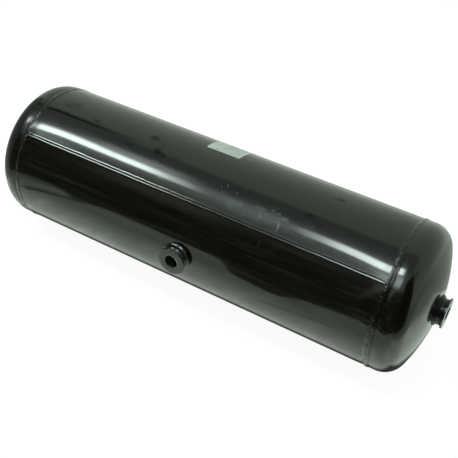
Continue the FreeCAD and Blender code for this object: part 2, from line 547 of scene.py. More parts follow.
@dataclass(frozen=True)
class BossPaint:
    """The same paint on a turned boss: thinner, rubbed to steel on the rim's edges, with painted shade down
    the thread.
    """

    name: str
    mouth: Vector
    away: Vector
    rim_radius: float
    bore_radius: float
    steel: Colour = (0.30, 0.29, 0.27)
    colour: Colour = (0.0052, 0.0050, 0.0042)
    # Near-black colours of the painted shade down the bore, clean and grimy.
    shaded_thread: Colour = (0.004, 0.004, 0.003)
    shaded_grimy_thread: Colour = (0.016, 0.015, 0.012)
    haze: float = 0.30
    roughness: float = 0.13
    wear: float = 0.6
    patch_size: float = 4 * MM
    rim_wear: float = 1.1 * MM
    lip_wear: tuple[float, float] = (1.9 * MM, 1.2 * MM)
    # Where the painted shade in the bore begins, as widths out from the bore.
    thread_shade_edge: tuple[float, float] = (1.4 * MM, 1.1 * MM)
    coat_roughness: float = 0.30
    cut_pitch: float = 0.45 * MM
    cut_height: float = 0.0012 * MM
    grain_height: float = 0.004 * MM
    grain_size: float = 2.2 * MM
    grime_height: float = 0.05 * MM
    grime_size: float = 1.5 * MM

    def make(self) -> bpy.types.Material:
        """Makes the material."""
        return new_material(self.name, self._inputs, self._bore_shade)

    def _depth_and_radius(self, graph: Graph, where: Value) -> tuple[Value, Value]:
        """Depth under the boss's face and distance from the boss's axis.

        Args:
            graph: The material's node tree.
            where: Position on the piece.

        Returns:
            The depth and the distance, in metres.
        """
        out = graph.vector("SUBTRACT", where, tuple(self.mouth))
        depth = graph.vector("DOT_PRODUCT", out, tuple(-self.away))
        return depth, graph.vector("LENGTH", graph.vector("CROSS_PRODUCT", out, tuple(self.away)))

    def _inputs(self, graph: Graph) -> dict:
        """Inputs of the boss paint's shader.

        Args:
            graph: The material's node tree.

        Returns:
            Its values by socket name.
        """
        where = graph.place()
        depth, radius = self._depth_and_radius(graph, where)
        patchy = graph.noise(where, self.patch_size, 4.0, 0.6)
        rim_edge = radius.rise(self.rim_radius - self.rim_wear, self.rim_radius - 0.2 * MM) \
            * depth.rise(1.0 * MM, 0.1 * MM)
        lip = radius.rise(*(self.bore_radius + wide for wide in self.lip_wear)) * depth.rise(0.8 * MM, 0.0)
        worn = (rim_edge + lip) * patchy.rise(0.50, 0.66) * self.wear
        cut = (radius * (2 * math.pi / self.cut_pitch)).sine()
        face = depth.rise(0.3 * MM, 0.0)
        height = cut * face * self.cut_height + graph.noise(where, self.grain_size, 2.0) * self.grain_height
        return {
            "Base Color": graph.colours(worn, self.colour, self.steel),
            "Metallic": worn,
            "Roughness": self.roughness + face * 0.07 + worn * 0.2 + patchy * 0.05,
            "IOR": PAINT_IOR,
            "Coat Weight": self.haze + face * 0.10,
            "Coat Roughness": self.coat_roughness,
            "Normal": graph.bump(height),
        }

    def _bore_shade(self, graph: Graph) -> tuple[Value, dict]:
        """Share and inputs of the painted shade in the bore: a near-black thread shader with some grime that
        barely reflects, standing in for the shade down the thread.

        Args:
            graph: The material's node tree.

        Returns:
            How much of the painted shade there is, and its values by socket name.
        """
        where = graph.place()
        depth, radius = self._depth_and_radius(graph, where)
        # Painted shade: inside the bore the paint gives way to a near-black shader with little reflection,
        # for the shade down the thread.
        inside = radius.rise(*(self.bore_radius + wide for wide in self.thread_shade_edge)) \
            * depth.rise(0.05 * MM, 0.3 * MM)
        grime = graph.noise(where, self.grime_size, 3.0)
        return inside, {
            "Base Color": graph.colours(grime, self.shaded_thread, self.shaded_grimy_thread),
            "Roughness": 0.30 + grime * 0.3,
            "Specular IOR Level": 0.14,
            "Normal": graph.bump(grime * self.grime_height),
        }


@dataclass(frozen=True)
class LabelFinish:
    """Pale plastic film with faint ruled lines and scuffs.  It carries no lettering."""

    name: str
    middle_x: float
    length: float
    radius: float
    colour: Colour = (0.45, 0.462, 0.44)
    rule_colour: Colour = (0.16, 0.17, 0.16)
    rule_spacing: float = 8.4 * MM
    rule_strength: float = 0.85
    rule_reach: tuple[float, float] = (0.44, 0.40)
    break_size: float = 4.5 * MM
    scuff_colour: Colour = (0.33, 0.35, 0.31)
    scuff_size: float = 3 * MM
    scuff_strength: float = 0.35
    crease_height: float = 0.05 * MM
    crease_size: float = 7 * MM

    def make(self) -> bpy.types.Material:
        """Makes the material."""
        return new_material(self.name, self._inputs)

    def _inputs(self, graph: Graph) -> dict:
        """Inputs of the film's shader.

        Args:
            graph: The material's node tree.

        Returns:
            Its values by socket name.
        """
        where = graph.place()
        parts = [graph.add("ShaderNodeSeparateXYZ", None, {0: where}, axis) for axis in range(3)]
        along = (parts[0] - self.middle_x).size()
        turn = graph.add("ShaderNodeMath", {"operation": "ARCTAN2"}, {0: parts[1], 1: parts[2]})
        arc = turn * self.radius
        rows = (arc * (2 * math.pi / self.rule_spacing)).sine()
        ruled = rows.rise(0.10, 0.8) * along.rise(*(self.length * share for share in self.rule_reach))
        drawn_out = graph.stretched(where, (2.2, 1.0, 1.0))
        broken = graph.noise(drawn_out, self.break_size, 2.0).rise(0.42, 0.56)
        scuff = graph.noise(where, self.scuff_size, 5.0, 0.65)
        lined = graph.colours(ruled * broken * self.rule_strength, self.colour, self.rule_colour)
        scuffed = scuff.rise(0.55, 0.8) * self.scuff_strength
        return {
            "Base Color": graph.colours(scuffed, lined, self.scuff_colour),
            "Roughness": 0.34 + scuff * 0.25,
            "IOR": FILM_IOR,
            "Normal": graph.bump(graph.noise(where, self.crease_size, 3.0) * self.crease_height),
        }


# --------------------------------------------------------------------------- mesh tools

class Seed(IntEnum):
    """Seeds of the uneven surfaces.  Some pieces count up from theirs."""

    SHELL_ROUND = 11
    SHELL_LONG = 12
    SHELL_BUCKLES = 13
    SEAM_DRIFT = 21
    SEAM_SWELL = 22
    SEAM_RIPPLES = 23
    GIRTH_BEAD = 30
    GROOVE = 41
    PRESS_MARKS = 42
    LABEL = 51
    END_PORT = 60
    SIDE_PORT = 70


class Wobble:
    """Smooth seeded unevenness round a turn or along a length."""

    def __init__(self, seed: int, waves: Sequence[float], size: float) -> None:
        """Draws a phase and a share for each wave.

        Args:
            seed: Seed of the draws.
            waves: Waves in one turn, or radians for each unit.
            size: Rough half height of the sum.
        """
        draw = random.Random(seed)
        share = size / math.sqrt(len(waves))
        self.terms = [(wave, draw.uniform(0, 2 * math.pi), share * draw.uniform(0.7, 1.3))
                      for wave in waves]

    def __call__(self, turn: np.ndarray) -> np.ndarray:
        """The unevenness at each place."""
        return sum(size * np.sin(wave * turn + phase) for wave, phase, size in self.terms)


def around(angle: np.ndarray) -> np.ndarray:
    """Unit vectors away from the tank axis.

    Args:
        angle: Radians above the side port.

    Returns:
        One vector for each angle, along a new last axis.
    """
    return np.stack([np.zeros_like(angle), -np.cos(angle), np.sin(angle)], -1)


def on_tank(x: np.ndarray, radius: np.ndarray, angle: np.ndarray) -> np.ndarray:
    """Points from their station on the axis, distance from it and radians above the side port.

    Args:
        x: Stations on the axis.
        radius: Distances from the axis.
        angle: Radians above the side port.

    Returns:
        One point for each, along a new last axis.
    """
    along = np.asarray(x)[..., None] * np.array([1.0, 0.0, 0.0])
    return around(angle) * np.asarray(radius)[..., None] + along


def ring_faces(rows: int, columns: int, closed: bool = True) -> np.ndarray:
    """Four-sided faces of a grid of sections, each of which closes up on itself.

    Args:
        rows: Number of sections.
        columns: Points of each section.
        closed: Whether the last section joins the first.

    Returns:
        The corners of each face.
    """
    row = np.arange(rows if closed else rows - 1)[:, None]
    column = np.arange(columns)[None, :]
    after, beside = (row + 1) % rows, (column + 1) % columns
    here, ahead = row * columns, after * columns
    corners = (here + column, ahead + column, ahead + beside, here + beside)
    return np.stack(np.broadcast_arrays(*corners), -1).reshape(-1, 4)


def new_piece(name: str, points: np.ndarray, faces: Sequence[Sequence[int]],
              sharp: float = 40.0) -> bpy.types.Object:
    """Makes an object from a closed skin, with its faces turned outward.

    Args:
        name: The piece's name.
        points: Its points.
        faces: Corners of each face, all wound the same way.
        sharp: Edges that turn by more degrees than this stay sharp.

    Returns:
        The object, linked to the scene.
    """
    points = np.asarray(points, float).reshape(-1, 3)
    mesh = bpy.data.meshes.new(name)
    mesh.from_pydata(points.tolist(), [], [list(map(int, face)) for face in faces])
    if skin_volume(points, faces) < 0:
        mesh.flip_normals()
    mesh.validate()
    mesh.shade_smooth()
    mesh.set_sharp_from_angle(angle=math.radians(sharp))
    piece = bpy.data.objects.new(name, mesh)
    bpy.context.scene.collection.objects.link(piece)
    return piece


def skin_volume(points: np.ndarray, faces: Sequence[Sequence[int]]) -> float:
    """Six times the signed volume inside the four-sided faces of a skin.

    Args:
        points: The skin's points.
        faces: Corners of each face; only those with four count.

    Returns:
        Six times the volume, in cubic metres; under 0 where the faces look inward.
    """
    quads = np.array([face for face in faces if len(face) == 4], int)
    a, b, c, d = (points[quads[:, i]] for i in range(4))
    return float((a * np.cross(b, c)).sum() + (a * np.cross(c, d)).sum())


def arc_points(centre: tuple[float, float], radius: float, start: float, end: float, steps: int) -> Section:
    """Points along an arc, its ends included.

    Args:
        centre: The arc's centre.
        radius: The arc's radius.
        start: Angle of the first point, in radians.
        end: Angle of the last point, in radians.
        steps: Number of chords.

    Returns:
        The points as (along, away) pairs.
    """
    angles = [start + (end - start) * i / steps for i in range(steps + 1)]
    return [(centre[0] + radius * math.cos(a), centre[1] + radius * math.sin(a)) for a in angles]


def rounded(points: Section, radius: float, steps: int = 4, most: float = 0.45) -> Section:
    """Rounds every corner of a closed outline.

    Args:
        points: The corners.
        radius: Radius at each corner, cut down where a side is short.
        steps: Chords in each rounded corner.
        most: Share of a side that a corner may take.

    Returns:
        The outline with its corners rounded.
    """
    made: Section = []
    for i, corner in enumerate(points):
        here = Vector(corner)
        before, after = Vector(points[i - 1]) - here, Vector(points[(i + 1) % len(points)]) - here
        half = before.angle(after) / 2
        reach = min(radius / math.tan(half), before.length * most, after.length * most)
        start, end = here + before.normalized() * reach, here + after.normalized() * reach
        for step in range(steps + 1):
            t = step / steps
            made.append(tuple(start * (1 - t) ** 2 + here * 2 * t * (1 - t) + end * t ** 2))
    return made


def fit_out(piece: bpy.types.Object, node: str, material: bpy.types.Material) -> None:
    """Dresses a piece and gives it the place of its plain construction node.

    Args:
        piece: The piece.
        node: The node that it stands for.
        material: The piece's finish.
    """
    piece.data.materials.append(material)
    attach(piece, BODY)
    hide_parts(node)
    LOG.info("%s: %d faces for %s", piece.name, len(piece.data.polygons), node)


# --------------------------------------------------------------------------- the tank

class End(Enum):
    """The two ends of the tank, with the side of the origin that each is on."""

    LEFT = -1
    RIGHT = 1

    @property
    def word(self) -> str:
        """The end's name in piece and node names."""
        return self.name.lower()


@dataclass
class Shell:
    """Rolled shell plate with its long seam, two flats beside the seam and a hole for the side boss."""

    radius: float
    end_x: float
    wall: float = 2.5 * MM
    seam_angle: float = math.radians(46.5)
    flat: float = 7.0 * MM
    flat_from: float = 3.5 * MM
    undercut_at: float = 4.1 * MM
    undercut_depth: float = 0.03 * MM
    undercut_width: float = 0.45 * MM
    shrinkage: float = 0.30 * MM
    shrinkage_reach: float = 9.0 * MM
    end_peak: float = 0.85 * MM
    end_peak_reach: float = 38.0 * MM
    end_peak_width: float = 20.0 * MM
    under_beads: float = 0.05 * MM
    wave_height: float = 0.05 * MM
    round_share: float = 0.5
    long_share: float = 0.25
    hole_radius: float = 18.1 * MM
    turn_steps: int = 232
    length_steps: int = 132
    even_share: float = 0.86
    beside_seam: tuple[float, ...] = (0.8, 1.8, 2.6, 3.2, 3.5, 3.7, 3.9, 4.1, 4.3, 4.5, 4.8, 5.4, 6.2, 7.2,
                                      8.4)

    def __post_init__(self) -> None:
        """Draws the plate's slight waves."""
        self.round_waves = Wobble(Seed.SHELL_ROUND, (2, 3, 5, 7), self.wave_height)
        self.long_waves = Wobble(Seed.SHELL_LONG, (9.0, 17.0, 31.0, 47.0), self.wave_height)
        self.buckles = Wobble(Seed.SHELL_BUCKLES, (1, 4, 6), 1.0)

    def skin(self, x: np.ndarray, angle: np.ndarray) -> np.ndarray:
        """Distance of the painted outside from the axis.

        Args:
            x: Stations on the axis.
            angle: Radians above the side port.

        Returns:
            The distances.
        """
        x, angle = np.broadcast_arrays(x, angle)
        arc = np.abs(self._from_seam(angle)) * self.radius
        peaking = np.clip(self.flat - np.maximum(arc, self.flat_from), 0, None) ** 2 / (2 * self.radius)
        undercut = self.undercut_depth * np.exp(-((arc - self.undercut_at) / self.undercut_width) ** 2)
        from_end = self.end_x - np.abs(x)
        shrunk = self.shrinkage * np.exp(-(from_end / self.shrinkage_reach) ** 2)
        ends = np.exp(-(from_end / self.end_peak_reach) ** 2)
        peaking = peaking + self.end_peak * ends * np.exp(-(arc / self.end_peak_width) ** 2)
        waves = self.round_waves(angle) * self.round_share \
            + self.long_waves(x) * self.buckles(angle) * self.long_share
        return self.radius + peaking - undercut - shrunk + waves - self.under_beads

    def _from_seam(self, angle: np.ndarray) -> np.ndarray:
        """Radians from the seam, up to half a turn to each side."""
        return (angle - self.seam_angle + math.pi) % (2 * math.pi) - math.pi

    def _turns(self) -> np.ndarray:
        """Angles of the grid, close together beside the seam.

        Returns:
            The angles in order, in radians above the side port.
        """
        plain = np.linspace(0, 2 * math.pi, self.turn_steps, endpoint=False) + math.radians(0.4)
        near = np.array(self.beside_seam) * MM
        near = np.concatenate([-near[::-1], [0.0], near]) / self.radius
        away = self._from_seam(plain)
        kept = away[np.abs(away) > near[-1] + 0.5 * MM / self.radius]
        return np.sort((np.concatenate([kept, near]) + self.seam_angle) % (2 * math.pi))

    def _stations(self) -> np.ndarray:
        """Stations of the grid, closer together towards the girth welds."""
        even = np.linspace(-1, 1, self.length_steps + 1)
        return self.end_x * (even * self.even_share + np.sin(even * math.pi / 2) * (1 - self.even_share))

    def build(self) -> bpy.types.Object:
        """Builds both skins of the plate and joins them at the ends and round the hole.

        Returns:
            The piece, linked to the scene.
        """
        x, angle = np.meshgrid(self._stations(), self._turns(), indexing="ij")
        rows, columns = x.shape
        side = self.radius * np.sin(angle)
        away = np.hypot(x, side)
        inside = (away < self.hole_radius) & (np.cos(angle) > 0)
        faces = ring_faces(rows, columns, closed=False)
        faces = faces[~inside.ravel()[faces].all(1)]
        rim = inside.ravel().copy()
        rim[np.setdiff1d(np.arange(rows * columns), faces)] = False
        rim = rim.reshape(x.shape)
        pull = self.hole_radius / np.maximum(away, 1e-6)
        x = np.where(rim, x * pull, x)
        side = np.where(rim, side * pull, side)
        outer_angle = np.where(rim, np.arcsin(np.clip(side / self.radius, -1, 1)), angle)
        bore = self.radius - self.wall
        inner_angle = np.where(rim, np.arcsin(np.clip(side / bore, -1, 1)), angle)
        points = np.concatenate([on_tank(x, self.skin(x, outer_angle), outer_angle).reshape(-1, 3),
                                 on_tank(x, np.full_like(x, bore), inner_angle).reshape(-1, 3)])
        inner = rows * columns
        edges = np.concatenate([faces[:, [i, (i + 1) % 4]] for i in range(4)])
        key = {(int(a), int(b)) for a, b in edges}
        joints = [(b, a, a + inner, b + inner) for a, b in key if (b, a) not in key]
        skin = faces.tolist() + (faces[:, ::-1] + inner).tolist() + sorted(joints)
        used = np.unique(np.array(skin))
        renumber = np.zeros(len(points), int)
        renumber[used] = np.arange(len(used))
        return new_piece("shell_painted", points[used], renumber[np.array(skin)])


@dataclass
class SeamBead:
    """Narrow rippled bead along the shell's seam, with a shallow trough along its middle."""

    shell: Shell
    half_length: float = 275.5 * MM
    half_width: float = 3.6 * MM
    height: float = 0.30 * MM
    dip: float = 0.82
    lean: float = 0.31
    lean_right: float = 0.82
    shrink_right: float = 0.20
    right_from: float = 12 * MM
    right_blend: float = 22 * MM
    drift: float = 0.12 * MM
    swell: float = 0.07
    ripple: float = 0.02 * MM
    pitch: float = 1.5 * MM
    toe_depth: float = 0.03 * MM
    root_depth: float = 1.2 * MM
    steps_per_ripple: int = 6
    across: int = 20

    def build(self) -> bpy.types.Object:
        """Builds the bead as a long bar whose top follows the shell's skin.

        Returns:
            The piece, linked to the scene.
        """
        count = int(2 * self.half_length / self.pitch * self.steps_per_ripple)
        x = np.linspace(-self.half_length, self.half_length, count)[:, None]
        share = np.linspace(-1, 1, self.across + 1)[None, :]
        drift = Wobble(Seed.SEAM_DRIFT, (37.0, 83.0, 171.0), self.drift)(x)
        swell = 1 + Wobble(Seed.SEAM_SWELL, (53.0, 127.0, 311.0, 620.0), self.swell)(x)
        angle = self.shell.seam_angle + (share * self.half_width * swell + drift) / self.shell.radius
        phase = x / self.pitch + 0.4 * share ** 2 + Wobble(Seed.SEAM_RIPPLES, (91.0, 240.0), 0.6)(x)
        ripples = (np.abs(np.sin(math.pi * phase)) ** 0.8 - 0.6) * self.ripple
        crests = (1 - np.cos(2 * math.pi * share)) / 2
        right = (1 + np.tanh((x - self.right_from) / self.right_blend)) / 2
        lean = self.lean + (self.lean_right - self.lean) * right
        swell = swell * (1 - self.shrink_right * right)
        crown = crests * self.dip * (1 - lean * share) + (1 - share ** 2) * (1 - self.dip)
        foot = self.shell.skin(x, self.shell.seam_angle + self.half_width / self.shell.radius)
        radius = foot - self.toe_depth + (self.height * swell + ripples) * crown
        top = on_tank(x + 0 * share, radius, angle)
        root = np.full((count, 2), self.shell.radius - self.root_depth)
        base = on_tank(x + 0 * root, root, angle[:, [-1, 0]])
        points = np.concatenate([top, base], 1)
        width = points.shape[1]
        faces = ring_faces(count, width, closed=False).tolist()
        ends = [list(range(width))[::-1], list(range((count - 1) * width, count * width))]
        return new_piece("seam_bead", points, faces + ends, BEAD_SHARP)


@dataclass
class GirthBead:
    """Broad rippled bead round one end, laid in short runs that are each nearly flat on top."""

    shell: Shell
    end: End
    weld_x: float
    half_width: float = 4.1 * MM
    height: float = 0.95 * MM
    runs: int = 40
    ripple: float = 0.15 * MM
    pitch: float = 2.4 * MM
    shift: float = -0.35 * MM
    drift: float = 0.25 * MM
    swell: float = 0.06
    lump: float = 0.14 * MM
    lump_over: float = 0.10 * MM
    fullness: float = 1.9
    toe_depth: float = 0.35 * MM
    root_depth: float = 2.0 * MM
    root_inset: float = 0.6 * MM
    steps_per_ripple: int = 7
    across: int = 16

    def build(self) -> bpy.types.Object:
        """Builds the bead as a closed ring.

        Returns:
            The piece, linked to the scene.
        """
        seed = Seed.GIRTH_BEAD + self.end.value * 5
        ripples_round = round(2 * math.pi * self.shell.radius / self.pitch)
        count = ripples_round * self.steps_per_ripple
        angle = np.linspace(0, 2 * math.pi, count, endpoint=False)[:, None]
        share = np.linspace(-1, 1, self.across + 1)[None, :]
        edge = Wobble(seed, (3, 11, 23, 41, 67), self.drift)(angle)
        width = self.half_width * (1 + Wobble(seed + 1, (5, 17, 29, 53, 90), self.swell)(angle))
        x = self.weld_x + self.shift + edge + share * width
        run = 2 * math.pi / self.runs
        from_middle = (angle + math.pi / 2 + run / 2) % run - run / 2
        top = (self.shell.radius + self.height) * math.cos(run / 2) / np.cos(from_middle)
        phase = angle * ripples_round / (2 * math.pi) + 0.55 * share ** 2 \
            + Wobble(seed + 2, (7, 19, 33), 0.5)(angle)
        ripples = (np.abs(np.sin(math.pi * phase)) ** 0.7 - 1.0) * self.ripple
        lumps = np.minimum(Wobble(seed + 3, (13, 31, 59, 97, 140), self.lump)(angle) - self.lump_over, 0)
        crown = (1 - share ** 2) ** self.fullness
        rise = top - self.shell.radius + lumps + ripples
        radius = self.shell.radius - self.toe_depth + (rise + self.toe_depth) * crown
        beads = on_tank(x, radius, angle + 0 * share)
        base_x = np.concatenate([x[:, -1:] - self.root_inset, x[:, :1] + self.root_inset], 1)
        root = np.full_like(base_x, self.shell.radius - self.root_depth)
        base = on_tank(base_x, root, angle + 0 * base_x)
        points = np.concatenate([beads, base], 1)
        points[..., 0] *= self.end.value
        return new_piece(f"girth_bead_{self.end.word}", points, ring_faces(*points.shape[:2]), BEAD_SHARP)


@dataclass
class DishedHead:
    """Pressed head: skirt, straight, knuckle and crown, with a hole for its boss."""

    end: End
    radius: float
    weld_x: float
    wall: float = 2.5 * MM
    crown: float = 230 * MM
    knuckle: float = 30 * MM
    straight: float = 11 * MM
    skirt: float = 12 * MM
    skirt_gap: float = 0.15 * MM
    shoulder: float = 1.5 * MM
    shoulder_drop: float = 0.6 * MM
    stations: tuple[float, ...] = (2.6, 3.4, 3.8, 4.1, 4.4, 4.7, 5.0, 5.3, 5.6, 5.9, 6.3, 6.8, 7.6, 9.0,
                                   10.2)
    groove_at: float = 4.9 * MM
    groove_depth: float = 1.1 * MM
    groove_width: float = 0.95 * MM
    groove_drift: float = 0.2 * MM
    groove_least: float = 0.3
    groove_turn: float = 0.35
    groove_front: float = 0.35
    press_depth: float = 0.10 * MM
    press_from: float = 6 * MM
    press_blend: float = 12 * MM
    hole_radius: float = 18.1 * MM
    turn_steps: int = 240

    def _side(self, inset: float, steps: tuple[int, int]) -> Section:
        """Knuckle and crown of one face, from the straight to the hole.

        Args:
            inset: How far the face lies inside the outer one.
            steps: Chords of the knuckle and of the crown.

        Returns:
            The points as (station, distance from the axis) pairs.
        """
        reach = self.crown - self.knuckle
        knuckle_away = self.radius - self.knuckle
        tangent = math.asin(knuckle_away / reach)
        start = self.weld_x + self.straight
        crown_x = start - reach * math.cos(tangent)
        hole = math.asin(self.hole_radius / (self.crown - inset))
        knuckle = arc_points((start, knuckle_away), self.knuckle - inset, math.pi / 2, tangent, steps[0])
        return knuckle + arc_points((crown_x, 0.0), self.crown - inset, tangent, hole, steps[1])[1:]

    def _outline(self) -> Section:
        """The closed half section as (station, distance from the axis).

        Returns:
            The points, in order.
        """
        shoulder = self.weld_x + self.shoulder
        bore = self.radius - self.wall - self.skirt_gap
        start = [(shoulder, bore), (shoulder, self.radius - self.shoulder_drop)]
        straight = [(self.weld_x + offset * MM, self.radius) for offset in self.stations]
        inside = self._side(self.wall, (10, 18))[::-1]
        joggle = [(shoulder + self.wall, self.radius - self.wall), (shoulder, bore - self.wall)]
        tail = [(self.weld_x - self.skirt, bore - self.wall), (self.weld_x - self.skirt, bore)]
        return start + straight + self._side(0.0, (18, 40)) + inside + joggle + tail

    def build(self) -> bpy.types.Object:
        """Builds the head by turning its section, with slight press marks.

        Returns:
            The piece, linked to the scene.
        """
        section = np.array(self._outline())
        angle = np.linspace(0, 2 * math.pi, self.turn_steps, endpoint=False)[:, None]
        x, away = section[None, :, 0] + 0 * angle, section[None, :, 1] + 0 * angle
        outer = away > self.radius - 0.1 * MM
        drift = Wobble(Seed.GROOVE, (3, 8, 19), self.groove_drift)(angle)
        groove_at = self.weld_x + self.groove_at + drift
        groove = self.groove_depth * np.exp(-((x - groove_at) / self.groove_width) ** 4)
        facing = np.clip((np.cos(angle - self.groove_turn) - self.groove_front) / self.groove_front, 0, 1)
        sunk = self.groove_least + (1 - self.groove_least) * facing
        away = away - np.where(outer, groove * sunk, 0)
        press = Wobble(Seed.PRESS_MARKS + self.end.value, (2, 3, 5, 9), self.press_depth)(angle)
        share = np.clip((x - self.weld_x - self.press_from) / self.press_blend, 0, 1)
        share = share * np.clip(away / self.radius, 0, 1) ** 3
        away = away - np.abs(press) * share
        points = on_tank(x * self.end.value, away, angle + 0 * x)
        return new_piece(f"head_{self.end.word}_painted", points, ring_faces(*points.shape[:2]))


@dataclass
class Port:
    """A turned boss with a helical thread, and the fillet bead round its foot."""

    name: str
    foot: Vector
    away: Vector
    mouth: float
    inner_end: float
    drop: Callable[[np.ndarray, np.ndarray], np.ndarray]
    seed: int
    barrel: float = 18 * MM
    rim: float = 20.5 * MM
    rim_thickness: float = 2.5 * MM
    bore: float = 9.315 * MM
    thread_root: float = 10.478 * MM
    pitch: float = 1.814 * MM
    bead_run: float = 3.5 * MM
    bead_rise: float = 3.3 * MM
    ripple: float = 0.13 * MM
    bead_pitch: float = 2.3 * MM
    bead_bulge: float = 0.55 * MM
    bead_swell: float = 0.07
    bead_saddle: float = 0.8
    bead_spread: float = 0.7
    bead_steps: int = 7
    bead_across: int = 12
    toe_depth: float = 0.25 * MM
    root_depth: float = 1.2 * MM
    root_drop: float = 0.3 * MM
    root_inset: float = 0.9 * MM
    top_inset: float = 0.15 * MM
    corner: float = 0.45 * MM
    inner_chamfer: float = 1.2 * MM
    mouth_chamfer: float = 0.3 * MM
    lead_in: float = 1.3 * MM
    lead_in_share: float = 0.2
    thread_steps: int = 8
    flank: float = 2.6
    crest: float = 0.15
    ridge: float = 0.36 * MM
    ridges: int = 4
    ridge_steps: int = 32
    ridge_ends: tuple[float, float] = (0.5 * MM, 0.6 * MM)
    chatter: float = 0.05 * MM
    flats_round: int = 37
    turn_steps: int = 148

    def __post_init__(self) -> None:
        """Sets two directions across the port."""
        self.first = Vector((0, 0, 1)) if abs(self.away.x) > 0.5 else Vector((1, 0, 0))
        self.second = self.away.cross(self.first)

    def _points(self, height: np.ndarray, radius: np.ndarray, turn: np.ndarray) -> np.ndarray:
        """Points from their height above the foot, distance from the port's axis and turn round it.

        Args:
            height: Heights above the foot.
            radius: Distances from the port's axis.
            turn: Radians round it.

        Returns:
            One point for each, along a new last axis.
        """
        out = np.array(self.away) * np.asarray(height)[..., None]
        first = np.array(self.first) * (radius * np.cos(turn))[..., None]
        second = np.array(self.second) * (radius * np.sin(turn))[..., None]
        return np.array(self.foot) + out + first + second

    def boss(self) -> bpy.types.Object:
        """Builds the turned boss.

        Returns:
            The piece, linked to the scene.
        """
        back = self.mouth - self.rim_thickness
        outside = rounded([(self.inner_end, self.bore + self.inner_chamfer), (self.inner_end, self.barrel),
                           (back, self.barrel), (back, self.rim), (self.mouth, self.rim),
                           (self.mouth, self.bore + self.mouth_chamfer)], self.corner)[5:]
        low, high = self.bead_rise - self.ridge_ends[0], back - self.ridge_ends[1]
        turned = []
        for i in range(self.ridge_steps + 1):
            share = i / self.ridge_steps
            cut = self.ridge * math.sin(math.pi * self.ridges * share) ** 2
            turned.append((low + (high - low) * share, self.barrel - cut))
        after = next(i for i, (h, _) in enumerate(outside) if h > high)
        outside = outside[:after] + turned + outside[after:]
        fine = self.pitch / self.thread_steps
        rows = int((self.mouth - self.inner_end - 0.4 * MM) / fine)
        thread = [self.mouth - 0.2 * MM - fine * i for i in range(rows)]
        heights = np.array([h for h, _ in outside] + thread)
        turn = np.linspace(0, 2 * math.pi, self.turn_steps, endpoint=False)[:, None]
        height = heights[None, :] + 0 * turn
        wave = (height / self.pitch - turn / (2 * math.pi)) % 1.0
        tooth = np.clip(np.abs(wave - 0.5) * self.flank - self.crest, 0, 1)
        lead_in = np.clip((height - self.mouth + self.lead_in) / self.lead_in, 0, 1)
        tooth = np.maximum(tooth, lead_in * self.lead_in_share)
        threaded = self.bore + (self.thread_root - self.bore) * tooth
        plain = np.array([r for _, r in outside] + [0.0] * rows)[None, :] + 0 * turn
        radius = np.where(plain > 0, plain, threaded)
        on_barrel = (heights > low) & (heights < high) & (plain[:1] > 0)
        radius = radius - on_barrel * self.chatter * np.abs(np.sin(turn * self.flats_round / 2))
        points = self._points(height, radius, turn)
        return new_piece(f"{self.name}_boss_turned", points, ring_faces(*points.shape[:2]), BOSS_SHARP)

    def bead(self) -> bpy.types.Object:
        """Builds the rippled fillet bead between the plate and the boss.

        Returns:
            The piece, linked to the scene.
        """
        ripples_round = round(2 * math.pi * (self.barrel + self.bead_run) / self.bead_pitch)
        count = ripples_round * self.bead_steps
        turn = np.linspace(0, 2 * math.pi, count, endpoint=False)[:, None]
        share = np.linspace(0, 1, self.bead_across + 1)[None, :]
        uneven = 1 + Wobble(self.seed, (2, 5, 9, 14, 22), self.bead_swell)(turn)
        toe = self.barrel + self.bead_run * uneven
        toe_height = -self.drop(toe, turn) - self.toe_depth
        saddle = self.bead_saddle * self.drop(np.full_like(turn, self.barrel), turn)
        top_height = self.bead_rise * uneven - saddle
        top = self.barrel - self.top_inset
        radius = toe + (top - toe) * share
        height = toe_height + (top_height - toe_height) * share
        phase = turn * ripples_round / (2 * math.pi) + 0.5 * (2 * share - 1) ** 2 \
            + Wobble(self.seed + 1, (3, 7, 11), 0.4)(turn)
        bulge = np.sin(math.pi * share)
        ripples = (np.abs(np.sin(math.pi * phase)) ** 0.7 - 0.5) * self.ripple
        swell = (self.bead_bulge + ripples) * bulge * self.bead_spread
        inner_radius = np.full((count, 2), self.barrel - self.root_inset)
        inner_height = np.concatenate([top_height - self.root_drop, toe_height - self.root_depth], 1)
        height = np.concatenate([height + swell, inner_height], 1)
        radius = np.concatenate([radius + swell, inner_radius], 1)
        points = self._points(height, radius, turn + 0 * height)
        return new_piece(f"{self.name}_port_bead", points, ring_faces(*points.shape[:2]), BEAD_SHARP)


